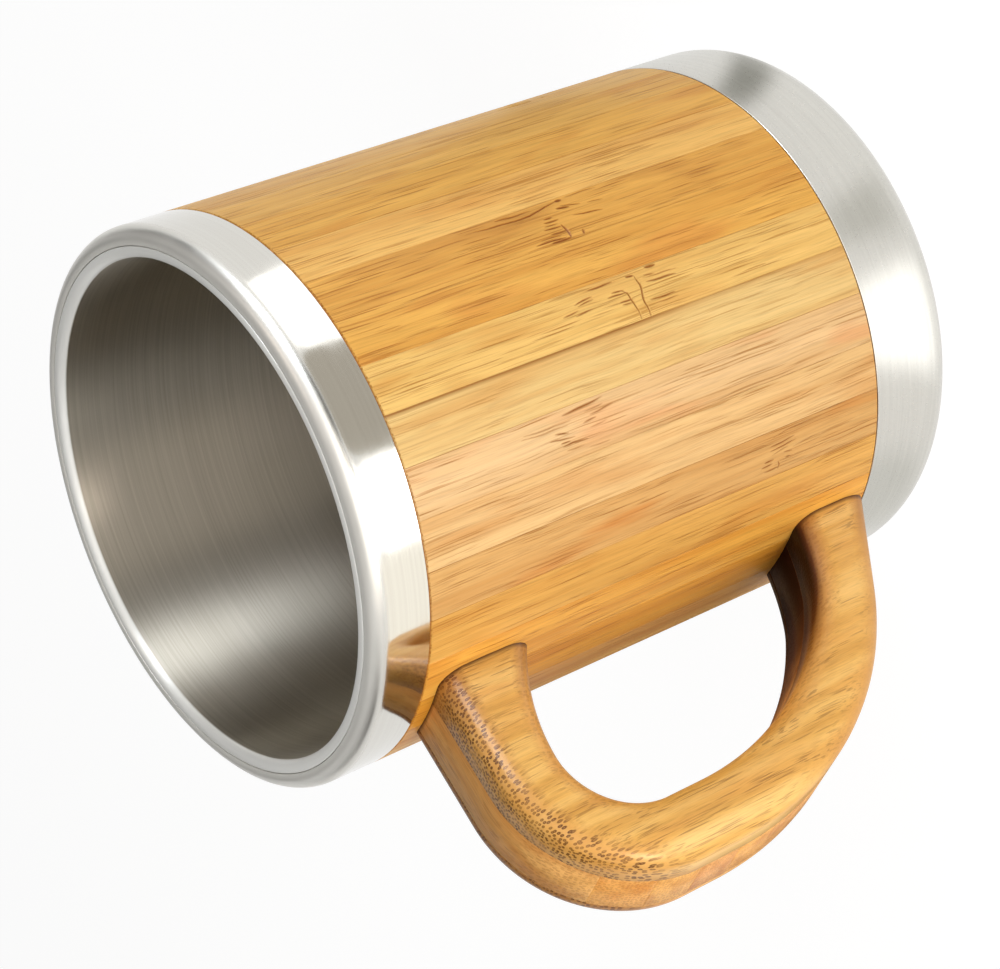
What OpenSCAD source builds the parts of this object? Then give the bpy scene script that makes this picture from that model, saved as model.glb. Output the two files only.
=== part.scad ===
// Steel drinking mug with a coopered bamboo sleeve and a three-ply bamboo handle.
// The origin is the centre of the underside, +Z goes up through the mouth and the handle is on +X.

/* [Cup] */
// Outside diameter, the same over steel and bamboo
cup_d = 80; // [72:1:100]
// Height of the steel base below the bamboo
base_h = 15.5; // [13:0.5:30]
// Height of the bamboo sleeve
sleeve_h = 79.6; // [72:0.2:110]
// Height of the steel rim above the bamboo
rim_h = 8.7; // [6:0.1:16]

/* [Steel sheet] */
// Sheet thickness of the rim collar and the base
skin_t = 0.6; // [0.4:0.05:0.8]
// Sheet thickness of the drinking liner
liner_t = 0.5; // [0.3:0.05:0.7]
// Height of the liner's inside floor above the table
floor_h = 8; // [5:0.5:12]
// Inside radius between the liner's wall and its floor
floor_round = 6; // [3:0.5:12]
// Rounding of the lip where the liner turns outward
lip_round = 1; // [0.9:0.05:1.2]
// Outside rounding of the rim collar
rim_round = 2; // [1.2:0.1:2.4]
// Outside rounding of the base's lower edge
base_round = 4.3; // [2:0.1:8]
// Radius of the plate welded into the base
plate_r = 30; // [20:0.5:31]
// Length of the steel necks inside each end of the sleeve
neck_h = 6; // [3:0.5:8]
// Clearance between nested pieces
fit_gap = 0.1; // [0.05:0.05:0.2]

/* [Bamboo sleeve] */
// Number of staves around the cup
stave_count = 36; // [28:2:40]
// Thickness of a stave
stave_t = 3.1; // [2.6:0.1:5]
// Bevel on the sleeve's outer edges, top and bottom
stave_bevel = 0.25; // [0.1:0.05:0.6]

/* [Handle] */
// Thickness of the ply on the +Y side
near_ply_t = 5.6; // [4.6:0.1:7]
// Thickness of the middle ply
core_ply_t = 6.6; // [5:0.1:8]
// Thickness of the ply on the -Y side
far_ply_t = 2.8; // [2.7:0.1:5]
// Width of the handle, seen from its side
grip_w = 9.6; // [9:0.1:12]
// Reach of the +Y side's edge rounding over its flat side
near_round_w = 4.2; // [2:0.1:4.4]
// Reach of the +Y side's edge rounding into the ply's thickness
near_round_t = 2.6; // [1:0.1:4.4]
// Rounding of the long edges on the -Y side
far_round = 2.5; // [1:0.1:2.6]
// Drop from the sleeve's top edge to the middle of the upper arm
arm_drop = 7.2; // [6:0.1:12]
// Rise from the sleeve's bottom edge to the middle of the lower arm
foot_rise = 6.1; // [6:0.1:9]
// Upward tilt of the upper arm in degrees
arm_tilt = 5.1; // [0:0.1:10]
// Straight length of the upper arm
arm_reach = 15.5; // [13:0.1:20]
// Radius of the upper corner, along the middle of the handle
corner_r = 15; // [10:0.1:18]
// Straight length of the grip below the corner
grip_straight = 5.9; // [2:0.1:12]
// Turn of the long lower bend in degrees
bow_turn = 56.4; // [48:0.2:62]
// Distance from the sleeve over which the arms widen into their feet
flare_run = 16; // [8:0.5:24]
// Extra width of the upper foot on its inner side
upper_flare = 4.6; // [0.5:0.1:6]
// Extra width of the lower foot on its inner side
lower_flare = 3; // [0.5:0.1:6]
// Number of crosswise strips that make up the middle ply
core_count = 12; // [10:1:14]
// Share of a whole strip's height that is left for the lowest one
core_tip_share = 0.71; // [0.5:0.01:1]
// Drop from the sleeve's top edge to the middle ply's first glue line
core_glue_drop = 7.5; // [5:0.1:9]

/* [Screws] */
// Shank radius of the two screws
screw_r = 1.5; // [1:0.1:1.8]
// Overall length of a screw
screw_l = 11.5; // [8:0.1:12]
// Head radius
screw_head_r = 2.6; // [2:0.1:2.7]
// Height of the countersunk head
screw_head_h = 1.5; // [0.8:0.1:2]
// Length of the point
screw_tip_l = 2; // [1:0.1:3]
// Width of the cross slot in the head
screw_slot_w = 0.7; // [0.4:0.1:0.9]
// Depth of the cross slot
screw_slot_h = 0.7; // [0.4:0.1:1]
// Depth of the head below the inside of the sleeve
screw_sink = 0.2; // [0.1:0.05:0.5]
// Height of the upper screw above the middle of the upper arm
upper_screw_lift = 2.1; // [0:0.1:2.5]
// Height of the lower screw above the middle of the lower arm
lower_screw_lift = 2.7; // [1.5:0.1:3.5]

/* [Hidden] */
$fn = 144;
// Extra length of every cutter past the face that it opens
overrun = 1;
cup_r = cup_d / 2;
sleeve_top = base_h + sleeve_h;
cup_h = sleeve_top + rim_h;
sleeve_in_r = cup_r - stave_t;
neck_r = sleeve_in_r - fit_gap - skin_t;
liner_r = neck_r - fit_gap - liner_t;
lip_edge_r = cup_r - rim_round - skin_t - fit_gap;
handle_t = near_ply_t + core_ply_t + far_ply_t;
arm_z = sleeve_top - arm_drop;
foot_z = base_h + foot_rise;
screw_head_x = sleeve_in_r + screw_sink;
upper_screw_z = arm_z + upper_screw_lift;
lower_screw_z = foot_z + lower_screw_lift;
corner_turn = 90 + arm_tilt;
// The long bend takes up the height that is left between the two arms
corner_x = arm_reach * cos(arm_tilt) + corner_r * (1 + sin(arm_tilt));
corner_fall = corner_r * cos(arm_tilt) - arm_reach * sin(arm_tilt);
bow_r = (arm_z - foot_z - corner_fall - grip_straight - corner_x / tan(bow_turn)) / tan(bow_turn / 2);
foot_run = (corner_x - bow_r * (1 - cos(bow_turn))) / sin(bow_turn);
// Distances along the middle of the handle, from the sleeve and back to it
corner_start = arm_reach;
corner_end = corner_start + corner_r * corner_turn * PI / 180;
bow_start = corner_end + grip_straight;
bow_end = bow_start + bow_r * bow_turn * PI / 180;
handle_run = bow_end + foot_run;
corner_exit = bend_at(arm_at(corner_start), corner_r, corner_turn);
bow_entry = ahead(corner_exit, grip_straight);
bow_exit = bend_at(bow_entry, bow_r, bow_turn);
// Fineness of the handle: steps in each rounded edge, and the run from one section to the next
round_steps = 5;
station_run = 2;
// Glue planes of the handle, measured across it from its middle, -Y side positive
near_glue = near_ply_t - handle_t / 2;
far_glue = handle_t / 2 - far_ply_t;
// Each arm runs this far into the sleeve's round before it is cut to fit it
arm_root = handle_t / 2;
// The middle ply's strips are counted from the top down to the lower foot's tip
core_glue_z = sleeve_top - core_glue_drop;
foot_tip_z = foot_z - grip_w / 2 / sin(bow_turn);
core_strip_h = (core_glue_z - foot_tip_z) / (core_count - 2 + core_tip_share);
stave_turn = 360 / stave_count;
// Honey, amber, straw and toasted strips, as they come from the culm
bamboo_tones = ["#e2b266", "#d99a4e", "#ecc680", "#cf934f", "#e6bb72"];
tone_step = 7;
STAVES = [for (i = [1:stave_count]) numbered("stave_", i)];
CORE_STRIPS = [for (i = [1:core_count]) numbered("handle_core_", i)];

function numbered(name, i) = str(name, i < 10 ? "0" : "", i);
function tone(i) = bamboo_tones[(i * tone_step) % len(bamboo_tones)];

// One quadrant of a bent sheet in section, counted anticlockwise from +X
module bend(r, t, quadrant) {
    rotate(90 * quadrant) intersection() {
        difference() {
            circle(r);
            circle(r - t);
        }
        square(r);
    }
}

module liner_section() {
    translate([0, floor_h - liner_t]) square([liner_r - floor_round, liner_t]);
    translate([liner_r - floor_round, floor_h + floor_round]) bend(floor_round + liner_t, liner_t, 3);
    translate([liner_r, floor_h + floor_round])
        square([liner_t, cup_h - lip_round - floor_h - floor_round]);
    translate([liner_r + lip_round, cup_h - lip_round]) bend(lip_round, liner_t, 1);
    translate([liner_r + lip_round, cup_h - liner_t]) square([lip_edge_r - liner_r - lip_round, liner_t]);
}

// The drawn cup that holds the drink, with its lip folded out over the collar
module drinking_liner() {
    color("#8f8b84") rotate_extrude() liner_section();
}

module collar_section() {
    ledge_z = cup_h - liner_t - skin_t;
    crest_r = cup_r - rim_round;
    under_lip_r = lip_round - liner_t - fit_gap;
    translate([cup_r - skin_t, sleeve_top]) square([skin_t, rim_h - rim_round]);
    translate([crest_r, cup_h - rim_round]) bend(rim_round, skin_t, 0);
    translate([crest_r - skin_t, ledge_z]) square([skin_t, liner_t + skin_t]);
    translate([liner_r + lip_round, ledge_z]) square([crest_r - liner_r - lip_round, skin_t]);
    translate([liner_r + lip_round, cup_h - lip_round]) bend(under_lip_r, under_lip_r, 1);
    translate([neck_r, sleeve_top - neck_h]) square([skin_t, rim_h + neck_h - lip_round]);
}

// The polished band above the bamboo, an inverted channel whose inner leg plugs into the sleeve
module rim_collar() {
    color("#d9dad6") rotate_extrude() collar_section();
}

module base_section() {
    translate([plate_r, 0]) square([cup_r - base_round - plate_r, skin_t]);
    translate([cup_r - base_round, base_round]) bend(base_round, skin_t, 3);
    translate([cup_r - skin_t, base_round]) square([skin_t, base_h - base_round]);
    translate([neck_r, base_h - skin_t]) square([cup_r - neck_r, skin_t]);
    translate([neck_r, base_h - skin_t]) square([skin_t, neck_h + skin_t]);
}

// The pressed foot of the cup, stepped in at the top so that the sleeve sits on it flush
module base_shell() {
    color("#c9c9c4") rotate_extrude() base_section();
}

// The round plate welded flush into the base
module base_plate() {
    color("#bdbdb8") cylinder(r = plate_r, h = skin_t);
}

// A wood screw lying along +X with its head just below the inside of the sleeve
module screw_body(z) {
    translate([screw_head_x, 0, z]) rotate([0, 90, 0]) rotate_extrude() polygon([
        [0, 0],
        [screw_head_r, 0],
        [screw_r, screw_head_h],
        [screw_r, screw_l - screw_tip_l],
        [0, screw_l]
    ]);
}

// The hole that the screw fills, countersunk and open towards the inside of the cup
module screw_hole(z) {
    translate([screw_head_x, 0, z]) rotate([0, 90, 0]) rotate_extrude() polygon([
        [0, -screw_sink - overrun],
        [screw_head_r, -screw_sink - overrun],
        [screw_head_r, 0],
        [screw_r, screw_head_h],
        [screw_r, stave_t + overrun],
        [0, stave_t + overrun]
    ]);
}

module screw(z) {
    color("#a9a9a4") difference() {
        screw_body(z);
        for (turn = [0, 90])
            translate([screw_head_x, 0, z]) rotate([turn, 0, 0])
                cube([2 * screw_slot_h, screw_slot_w, 2 * screw_r], center = true);
    }
}

module stave_section() {
    polygon([
        [sleeve_in_r, base_h],
        [cup_r - stave_bevel, base_h],
        [cup_r, base_h + stave_bevel],
        [cup_r, sleeve_top - stave_bevel],
        [cup_r - stave_bevel, sleeve_top],
        [sleeve_in_r, sleeve_top]
    ]);
}

// One stave of the ring; the first lies behind the handle and takes its screws
module stave(i) {
    color(tone(i)) difference() {
        rotate((i - 1.5) * stave_turn) rotate_extrude(angle = stave_turn) stave_section();
        if (i == 1) {
            screw_hole(upper_screw_z);
            screw_hole(lower_screw_z);
        }
    }
}

// Place and heading at a distance along the middle of the handle, in the plane of the handle
function arm_at(s) = [cup_r + s * cos(arm_tilt), arm_z + s * sin(arm_tilt), arm_tilt];
function bend_at(start, r, turn) = [
    start[0] + r * (sin(start[2]) - sin(start[2] - turn)),
    start[1] - r * (cos(start[2]) - cos(start[2] - turn)),
    start[2] - turn
];
function ahead(start, s) = [start[0] + s * cos(start[2]), start[1] + s * sin(start[2]), start[2]];
function arc_turn(s, r) = s / r * 180 / PI;
function handle_at(s) =
    s < corner_start ? arm_at(s) :
    s < corner_end ? bend_at(arm_at(corner_start), corner_r, arc_turn(s - corner_start, corner_r)) :
    s < bow_start ? ahead(corner_exit, s - corner_end) :
    s < bow_end ? bend_at(bow_entry, bow_r, arc_turn(s - bow_start, bow_r)) :
    ahead(bow_exit, s - bow_end);

// Extra width on the inner side, growing towards the sleeve
function flare_at(s) = s < handle_run / 2 ? upper_flare * pow(max(0, 1 - s / flare_run), 2)
    : lower_flare * pow(max(0, 1 - (handle_run - s) / flare_run), 2);

// A rounded corner, a quarter of an ellipse that reaches a along the first axis and b along the second
function corner_points(u, v, a, b, start) = [
    for (k = [0:round_steps])
        [u + a * cos(start + 90 * k / round_steps), v + b * sin(start + 90 * k / round_steps)]
];

// Outline of a ply across the handle, rounded only where the ply is an outside one
function ply_outline(from, to, outer, inner) = concat(
    from > -handle_t / 2 ? [[-inner, from], [outer, from]]
        : concat(corner_points(near_round_w - inner, from + near_round_t, near_round_w, near_round_t, 180),
                 corner_points(outer - near_round_w, from + near_round_t, near_round_w, near_round_t, 270)),
    to < handle_t / 2 ? [[outer, to], [-inner, to]]
        : concat(corner_points(outer - far_round, to - far_round, far_round, far_round, 0),
                 corner_points(far_round - inner, to - far_round, far_round, far_round, 90))
);

function ring_at(s, from, to) = [
    for (p = ply_outline(from, to, grip_w / 2, grip_w / 2 + flare_at(s)))
        let (at = handle_at(s)) [at[0] - p[0] * sin(at[2]), -p[1], at[1] + p[0] * cos(at[2])]
];

// A ply between two depths across the handle, over its whole length
module swept_ply(from, to) {
    run = handle_run + 2 * arm_root;
    steps = ceil(run / station_run);
    rings = [for (k = [0:steps]) ring_at(k * run / steps - arm_root, from, to)];
    sides = len(rings[0]);
    walls = [for (k = [0:steps - 1], i = [0:sides - 1]) [
        k * sides + i, (k + 1) * sides + i,
        (k + 1) * sides + (i + 1) % sides, k * sides + (i + 1) % sides
    ]];
    start_cap = [for (i = [0:sides - 1]) i];
    end_cap = [for (i = [sides - 1:-1:0]) steps * sides + i];
    polyhedron([for (ring = rings) each ring], concat([start_cap, end_cap], walls));
}

// Fits the feet to the round of the sleeve and drills them for the screws
module handle_ply(from, to) {
    difference() {
        swept_ply(from, to);
        cylinder(r = cup_r, h = cup_h);
        screw_body(upper_screw_z);
        screw_body(lower_screw_z);
    }
}

module handle_near_ply() {
    color("#e0a95a") handle_ply(-handle_t / 2, near_glue);
}

module handle_far_ply() {
    color("#e0a95a") handle_ply(far_glue, handle_t / 2);
}

// One crosswise strip of the middle ply; the finger hole saws one of them in two
module handle_core(i) {
    top_z = i == 1 ? cup_h : core_glue_z - (i - 2) * core_strip_h;
    bottom_z = i == core_count ? 0 : core_glue_z - (i - 1) * core_strip_h;
    color(tone(i)) intersection() {
        handle_ply(near_glue, far_glue);
        translate([0, -handle_t / 2, bottom_z]) cube([cup_r + handle_run, handle_t, top_z - bottom_z]);
    }
}

drinking_liner();
rim_collar();
base_shell();
base_plate();
handle_near_ply();
handle_far_ply();
screw(upper_screw_z);  // upper_screw
screw(lower_screw_z);  // lower_screw
for (i = [1:core_count]) handle_core(i);
for (i = [1:stave_count]) stave(i);
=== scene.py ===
import math
import random
from functools import partial
import bmesh
import bpy
from mathutils import Matrix, Vector


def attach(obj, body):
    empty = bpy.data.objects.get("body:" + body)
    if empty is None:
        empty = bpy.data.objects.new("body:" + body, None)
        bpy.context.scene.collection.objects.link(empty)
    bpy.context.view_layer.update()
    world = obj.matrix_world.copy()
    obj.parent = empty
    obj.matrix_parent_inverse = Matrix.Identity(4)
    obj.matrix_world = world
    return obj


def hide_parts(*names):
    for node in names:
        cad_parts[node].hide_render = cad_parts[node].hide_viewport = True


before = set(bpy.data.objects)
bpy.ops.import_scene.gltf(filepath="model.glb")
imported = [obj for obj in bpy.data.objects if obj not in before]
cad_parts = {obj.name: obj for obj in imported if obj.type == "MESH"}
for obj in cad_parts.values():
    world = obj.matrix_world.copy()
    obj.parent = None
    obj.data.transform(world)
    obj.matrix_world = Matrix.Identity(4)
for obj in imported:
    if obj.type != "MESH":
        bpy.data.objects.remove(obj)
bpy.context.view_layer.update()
print("frame:", len(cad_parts), "nodes")

mm = 0.001
scene = bpy.context.scene


# an sRGB hex code turned to linear; any other value stays as it is
def hexToLinear(value):
    if not isinstance(value, str):
        return value
    parts = [int(value[i:i + 2], 16) / 255 for i in (1, 3, 5)]
    return tuple(p / 12.92 if p <= 0.04045 else ((p + 0.055) / 1.055) ** 2.4 for p in parts) + (1,)


# adds a shader node: settings are its properties or unlinked inputs, with colours as hex codes; links are what
# feeds its other inputs, either an output socket or a node, whose first output is meant
def addNode(tree, kind, settings=None, links=None):
    node = tree.nodes.new("ShaderNode" + kind)
    for key, value in (settings or {}).items():
        if key == "stops":
            while len(node.color_ramp.elements) < len(value):
                node.color_ramp.elements.new(0.5)
            for element, (place, colour) in zip(node.color_ramp.elements, value):
                element.position = place
                element.color = hexToLinear(colour)
        elif isinstance(key, str) and hasattr(node, key):
            setattr(node, key, value)
        else:
            node.inputs[key].default_value = hexToLinear(value)
    for key, source in (links or {}).items():
        tree.links.new(source.outputs[0] if isinstance(source, bpy.types.Node) else source, node.inputs[key])
    return node


# settings that many nodes share
times, smooth, inColour = {"operation": "MULTIPLY"}, {"interpolation_type": "SMOOTHSTEP"}, {"data_type": "RGBA"}


# a new material and what adds nodes to it
def startMaterial(name):
    material = bpy.data.materials.new(name)
    material.use_nodes = True
    material.node_tree.nodes.clear()
    return material, partial(addNode, material.node_tree)


def metres(*lengths):
    return [length * mm for length in lengths]


# settings of a MapRange: what comes in from start to end goes out from low to high
def span(start, end, low=0, high=1):
    return {1: start, 2: end, 3: low, 4: high}


def grey(value):
    return (value, value, value, 1)


# shades a mesh smooth, but for edges sharper than an angle, and puts it in the scene
def showMesh(mesh, material, sharpAngle):
    for face in mesh.polygons:
        face.use_smooth = True
    mesh.set_sharp_from_angle(angle=math.radians(sharpAngle))
    mesh.materials.append(material)
    piece = bpy.data.objects.new(mesh.name, mesh)
    scene.collection.objects.link(piece)
    return piece


def makeObject(name, vertices, faces, material, sharpAngle=40):
    mesh = bpy.data.meshes.new(name)
    mesh.from_pydata(vertices, [], faces)
    mesh.update()
    return showMesh(mesh, material, sharpAngle)


def place(piece, slot, *nodes):
    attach(piece, "root")
    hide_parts(*nodes)


# where the camera stands, and its lens
cameraView = {
    "aim": (10.03, -5.25, 57.43),    # mm
    "distance": 410.5,               # mm
    "azimuth": 62.378,               # degrees round from +X
    "elevation": 32.576,
    "roll": 111.82,                  # the cup leans over in the picture
    "lens": 103.15,                  # mm, on a sensor this wide
    "sensor": 36,
    "nearest": 10,                   # mm, nothing closer shows
}


def makeCamera(look):
    azimuth, elevation, roll = (math.radians(look[k]) for k in ("azimuth", "elevation", "roll"))
    level = math.cos(elevation)
    back = Vector((math.cos(azimuth) * level, math.sin(azimuth) * level, math.sin(elevation)))
    side = (-back).cross(Vector((0, 0, 1))).normalized()
    up = math.cos(roll) * side.cross(-back) + math.sin(roll) * side
    data = bpy.data.cameras.new("productCamera")
    data.lens = look["lens"]
    data.sensor_width = look["sensor"]
    data.clip_start = look["nearest"] * mm
    camera = bpy.data.objects.new("productCamera", data)
    turn = Matrix((up.cross(back), up, back)).transposed()
    camera.matrix_world = Matrix.Translation(Vector(look["aim"]) * mm + back * look["distance"] * mm) @ turn.to_4x4()
    scene.collection.objects.link(camera)
    scene.camera = camera


makeCamera(cameraView)
print("camera placed")

# sizes in mm, as on the frame
cupSize = {
    "radius": 40,
    "baseTop": 15.5,
    "sleeveTop": 95.1,
    "height": 103.8,
    "turnSteps": 288,        # sides of a full turn
}

# tones along the brush lines, roughness from least to most, and how far below the cup's top, in mm, each finish
# of the rim starts and is full. Lines are per metre in x, y and z: real ones, 0.1 mm apart, are too fine to show
# and are drawn 0.3 mm apart inside, 0.4 mm on rim and foot
steelLooks = {
    "inside": {
        "tones": ("#b3ab9d", "#c3bcae"), "lines": (22, 22, 3300), "detail": 4, "fineness": 0.6,
        "roughness": (0.48, 0.6),
        "lipAt": (1.1, 0.8), "lipTone": "#ecebe6", "lipRoughness": 0.36, "lipMetal": 0.15,
    },
    "rim": {
        "tones": ("#d4d1ca", "#d8d6cf"), "lines": (12, 12, 2600), "detail": 3, "fineness": 0.5,
        "roughness": (0.07, 0.14),
        "satinAt": (2.4, 1.2), "satinRoughness": 0.26, "paleAt": (0.9, 0.2), "paleMetal": 0.25,
    },
    "foot": {
        "tones": ("#cbc9c2", "#d3d1ca"), "lines": (60, 60, 2400), "detail": 3, "fineness": 0.5,
        "roughness": (0.27, 0.33),
    },
}


def belowTop(drops):
    return metres(*(cupSize["height"] - drop for drop in drops))


def twoTones(tones, start=0.3, end=0.7):
    return {"stops": [(start, tones[0]), (end, tones[1])]}


def startSteel(name, look):
    material, add = startMaterial(name)
    coords = add("TexCoord").outputs["Object"]
    lines = add("Mapping", {"Scale": look["lines"]}, {"Vector": coords})
    brush = add("TexNoise", {"Scale": 1, "Detail": look["detail"], "Roughness": look["fineness"]}, {"Vector": lines})
    tone = add("ValToRGB", twoTones(look["tones"]), {"Fac": brush})
    return material, add, coords, brush, tone


# 18/8 stainless sheet, deep drawn and brushed round the inside: a grey metal with long soft glints
def drawnSteel():
    look = steelLooks["inside"]
    material, add, coords, brush, tone = startSteel("brushedStainlessInside", look)
    haze = add("TexNoise", {"Scale": 45, "Detail": 3}, {"Vector": coords})
    cloud = add("MapRange", span(0.35, 0.65, *look["roughness"]), {0: haze})
    # the lip is rubbed satin after drawing: its fine scratches scatter light, so part of it shades like a pale solid
    height = add("SeparateXYZ", links={0: coords}).outputs[2]
    lip = add("MapRange", span(*belowTop(look["lipAt"])), {0: height})
    rubbed = add("Mix", {"data_type": "FLOAT", 3: look["lipRoughness"]}, {0: lip, 2: cloud})
    solid = add("MapRange", span(0, 1, 1, look["lipMetal"]), {0: lip})
    paled = add("Mix", {**inColour, 7: look["lipTone"]}, {0: lip, 6: tone})
    bump = add("Bump", {"Strength": 0.12, "Distance": 0.03 * mm}, {"Height": brush})
    tangent = add("Tangent", {"direction_type": "RADIAL", "axis": "Z"})
    shader = add("BsdfPrincipled", {"Anisotropic": 0.95, "Anisotropic Rotation": 0.25}, {
        "Base Color": paled.outputs[2], "Metallic": solid, "Roughness": rubbed, "Normal": bump, "Tangent": tangent,
    })
    add("OutputMaterial", links={"Surface": shader})
    return material


# the same sheet, spun and buffed for the rim: a near mirror with a faint turning mark
def buffedSteel():
    look = steelLooks["rim"]
    material, add, coords, brush, tone = startSteel("buffedStainlessRim", look)
    smear = add("TexNoise", {"Scale": 160, "Detail": 4}, {"Vector": coords})
    polish = add("MapRange", span(0.35, 0.65, *look["roughness"]), {0: smear})
    height = add("SeparateXYZ", links={0: coords}).outputs[2]
    # the crest is only brushed over: satin, and paler right at the top
    satin = add("MapRange", span(*belowTop(look["satinAt"]), 0, look["satinRoughness"]), {0: height})
    solid = add("MapRange", span(*belowTop(look["paleAt"]), 1, look["paleMetal"]), {0: height})
    gloss = add("Math", {"operation": "ADD"}, {0: polish, 1: satin})
    bump = add("Bump", {"Strength": 0.012, "Distance": 0.02 * mm}, {"Height": brush})
    shader = add("BsdfPrincipled", links={"Base Color": tone, "Metallic": solid, "Roughness": gloss, "Normal": bump})
    add("OutputMaterial", links={"Surface": shader})
    return material


# the same sheet, pressed and satin finished for the foot: soft wide glints, a little warm
def satinSteel():
    look = steelLooks["foot"]
    material, add, coords, brush, tone = startSteel("satinStainlessBase", look)
    grit = add("TexNoise", {"Scale": 3300, "Detail": 2}, {"Vector": coords})   # 0.3 mm grit marks
    mixed = add("Math", {"operation": "ADD"}, {0: brush, 1: grit})
    gloss = add("MapRange", span(0.3, 0.7, *look["roughness"]), {0: grit})
    bump = add("Bump", {"Strength": 0.05, "Distance": 0.02 * mm}, {"Height": mixed})
    shader = add("BsdfPrincipled", {"Metallic": 1}, {"Base Color": tone, "Roughness": gloss, "Normal": bump})
    add("OutputMaterial", links={"Surface": shader})
    return material


# values from low to high, both ends with them, in equal steps
def evenly(low, high, steps):
    return [low + (high - low) * k / steps for k in range(steps + 1)]


def arc(x, z, radius, start, end, steps):
    turns = [math.radians(turn) for turn in evenly(start, end, steps)]
    return [(x + radius * math.cos(turn), z + radius * math.sin(turn)) for turn in turns]


# turns a closed outline of (radius, height) round Z; a radius of 0 is a pole
def turnedMesh(name, outline, material, sharpAngle=40):
    steps = cupSize["turnSteps"]
    vertices, rings, faces = [], [], []
    for radius, height in outline:
        first = len(vertices)
        if radius == 0:
            vertices.append((0, 0, height * mm))
            rings.append([first] * steps)
        else:
            for k in range(steps):
                angle = 2 * math.pi * k / steps
                vertices.append((radius * math.cos(angle) * mm, radius * math.sin(angle) * mm, height * mm))
            rings.append(list(range(first, first + steps)))
    for i, ring in enumerate(rings):
        other = rings[(i + 1) % len(rings)]
        for k in range(steps):
            corners = [ring[k], ring[(k + 1) % steps], other[(k + 1) % steps], other[k]]
            corners = [c for n, c in enumerate(corners) if c not in corners[:n]]
            if len(corners) > 2:
                faces.append(corners)
    return makeObject(name, vertices, faces, material, sharpAngle)


# mm, heights above the ground
liner = {"inside": 35.6, "sheet": 0.5, "floor": 8, "floorRound": 6, "lipRound": 1, "lipEdge": 37.3, "edgeEase": 0.12}


def linerOutline(s):
    top, lipZ = cupSize["height"], cupSize["height"] - s["lipRound"]
    bendX, bendZ = s["inside"] - s["floorRound"], s["floor"] + s["floorRound"]
    lipX, ease = s["inside"] + s["lipRound"], s["edgeEase"]
    return (
        [(x, s["floor"]) for x in evenly(0, bendX, 6)[:-1]]
        + arc(bendX, bendZ, s["floorRound"], -90, 0, 14)
        + [(s["inside"], z) for z in evenly(bendZ, lipZ, 12)[1:-1]]
        + arc(lipX, lipZ, s["lipRound"], 180, 90, 10)
        + arc(s["lipEdge"] - ease, top - ease, ease, 90, 0, 3)
        + [(s["lipEdge"], top - s["sheet"]), (lipX, top - s["sheet"])]
        + arc(lipX, lipZ, s["lipRound"] - s["sheet"], 90, 180, 5)
        + arc(bendX, bendZ, s["floorRound"] + s["sheet"], 0, -90, 10)
        + [(0, s["floor"] - s["sheet"])]
    )[::-1]


collar = {
    "sheet": 0.6, "round": 2, "seam": 37.4, "seamEase": 0.1, "ledge": 102.7, "lipSeat": 103.3,
    "seatCorner": (36.6, 102.8), "seatRound": 0.4, "neck": (36.2, 36.8), "neckFoot": 89.1, "edgeEase": 0.15,
}


def collarOutline(s):
    top, foot, r = cupSize["height"], cupSize["sleeveTop"], cupSize["radius"]
    crestX, crestZ, ease = r - s["round"], top - s["round"], s["edgeEase"]
    (seatX, seatZ), tip = s["seatCorner"], s["seamEase"]
    return (
        [(r - s["sheet"], foot), (r - ease, foot), (r, foot + ease)]
        + [(r, z) for z in evenly(foot, crestZ, 4)[1:-1]]
        + arc(crestX, crestZ, s["round"], 0, 90, 14)
        + arc(s["seam"] + tip, top - tip, tip, 90, 180, 3)
        + [(s["seam"], s["lipSeat"]), (seatX, s["lipSeat"])]
        + arc(seatX, seatZ, s["seatRound"], 90, 180, 4)
        + [(s["neck"][0], s["neckFoot"]), (s["neck"][1], s["neckFoot"]), (s["neck"][1], s["ledge"])]
        + [(crestX, s["ledge"])]
        + arc(crestX, crestZ, s["round"] - s["sheet"], 90, 0, 8)
    )


base = {
    "sheet": 0.6, "round": 4.3, "plate": 30, "plateEase": 0.08, "neck": (36.2, 36.8), "neckTop": 21.5,
    "edgeEase": 0.05,
}


def baseOutline(s):
    top, r, ease = cupSize["baseTop"], cupSize["radius"], s["edgeEase"]
    bendX = r - s["round"]
    return (
        [(s["plate"], s["plateEase"]), (s["plate"] + s["plateEase"], 0)]
        + [(x, 0) for x in evenly(s["plate"], bendX, 4)[1:-1]]
        + arc(bendX, s["round"], s["round"], -90, 0, 18)
        + [(r, z) for z in evenly(s["round"], top, 4)[1:-1]]
        + [(r, top - ease), (r - ease, top), (s["neck"][1], top), (s["neck"][1], s["neckTop"])]
        + [(s["neck"][0], s["neckTop"]), (s["neck"][0], top - s["sheet"]), (r - s["sheet"], top - s["sheet"])]
        + arc(bendX, s["round"], s["round"] - s["sheet"], 0, -90, 10)
        + [(s["plate"], s["sheet"])]
    )


plate = {"sheet": 0.6, "step": 0.12, "stepAt": (9, 9.6), "edgeEase": 0.08}


# the underside's plate, with the shallow ring that pressing leaves round its middle
def plateOutline(s):
    r, ease = base["plate"], s["edgeEase"]
    inner, outer = s["stepAt"]
    return (
        [(0, s["step"]), (inner * 0.5, s["step"]), (inner, s["step"])]
        + [(x, 0) for x in evenly(outer, r - ease, 4)]
        + [(r, ease), (r, s["sheet"]), (0, s["sheet"])]
    )


steelInside, steelRim, steelFoot = drawnSteel(), buffedSteel(), satinSteel()
place(turnedMesh("drinkingCup", linerOutline(liner), steelInside), "liner_steel", "drinking_liner")
place(turnedMesh("rimBand", collarOutline(collar), steelRim), "collar_steel", "rim_collar")
place(turnedMesh("footShell", baseOutline(base), steelFoot), "base_steel", "base_shell")
place(turnedMesh("footPlate", plateOutline(plate), steelFoot), "base_steel", "base_plate")
print("steel turned")

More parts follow.
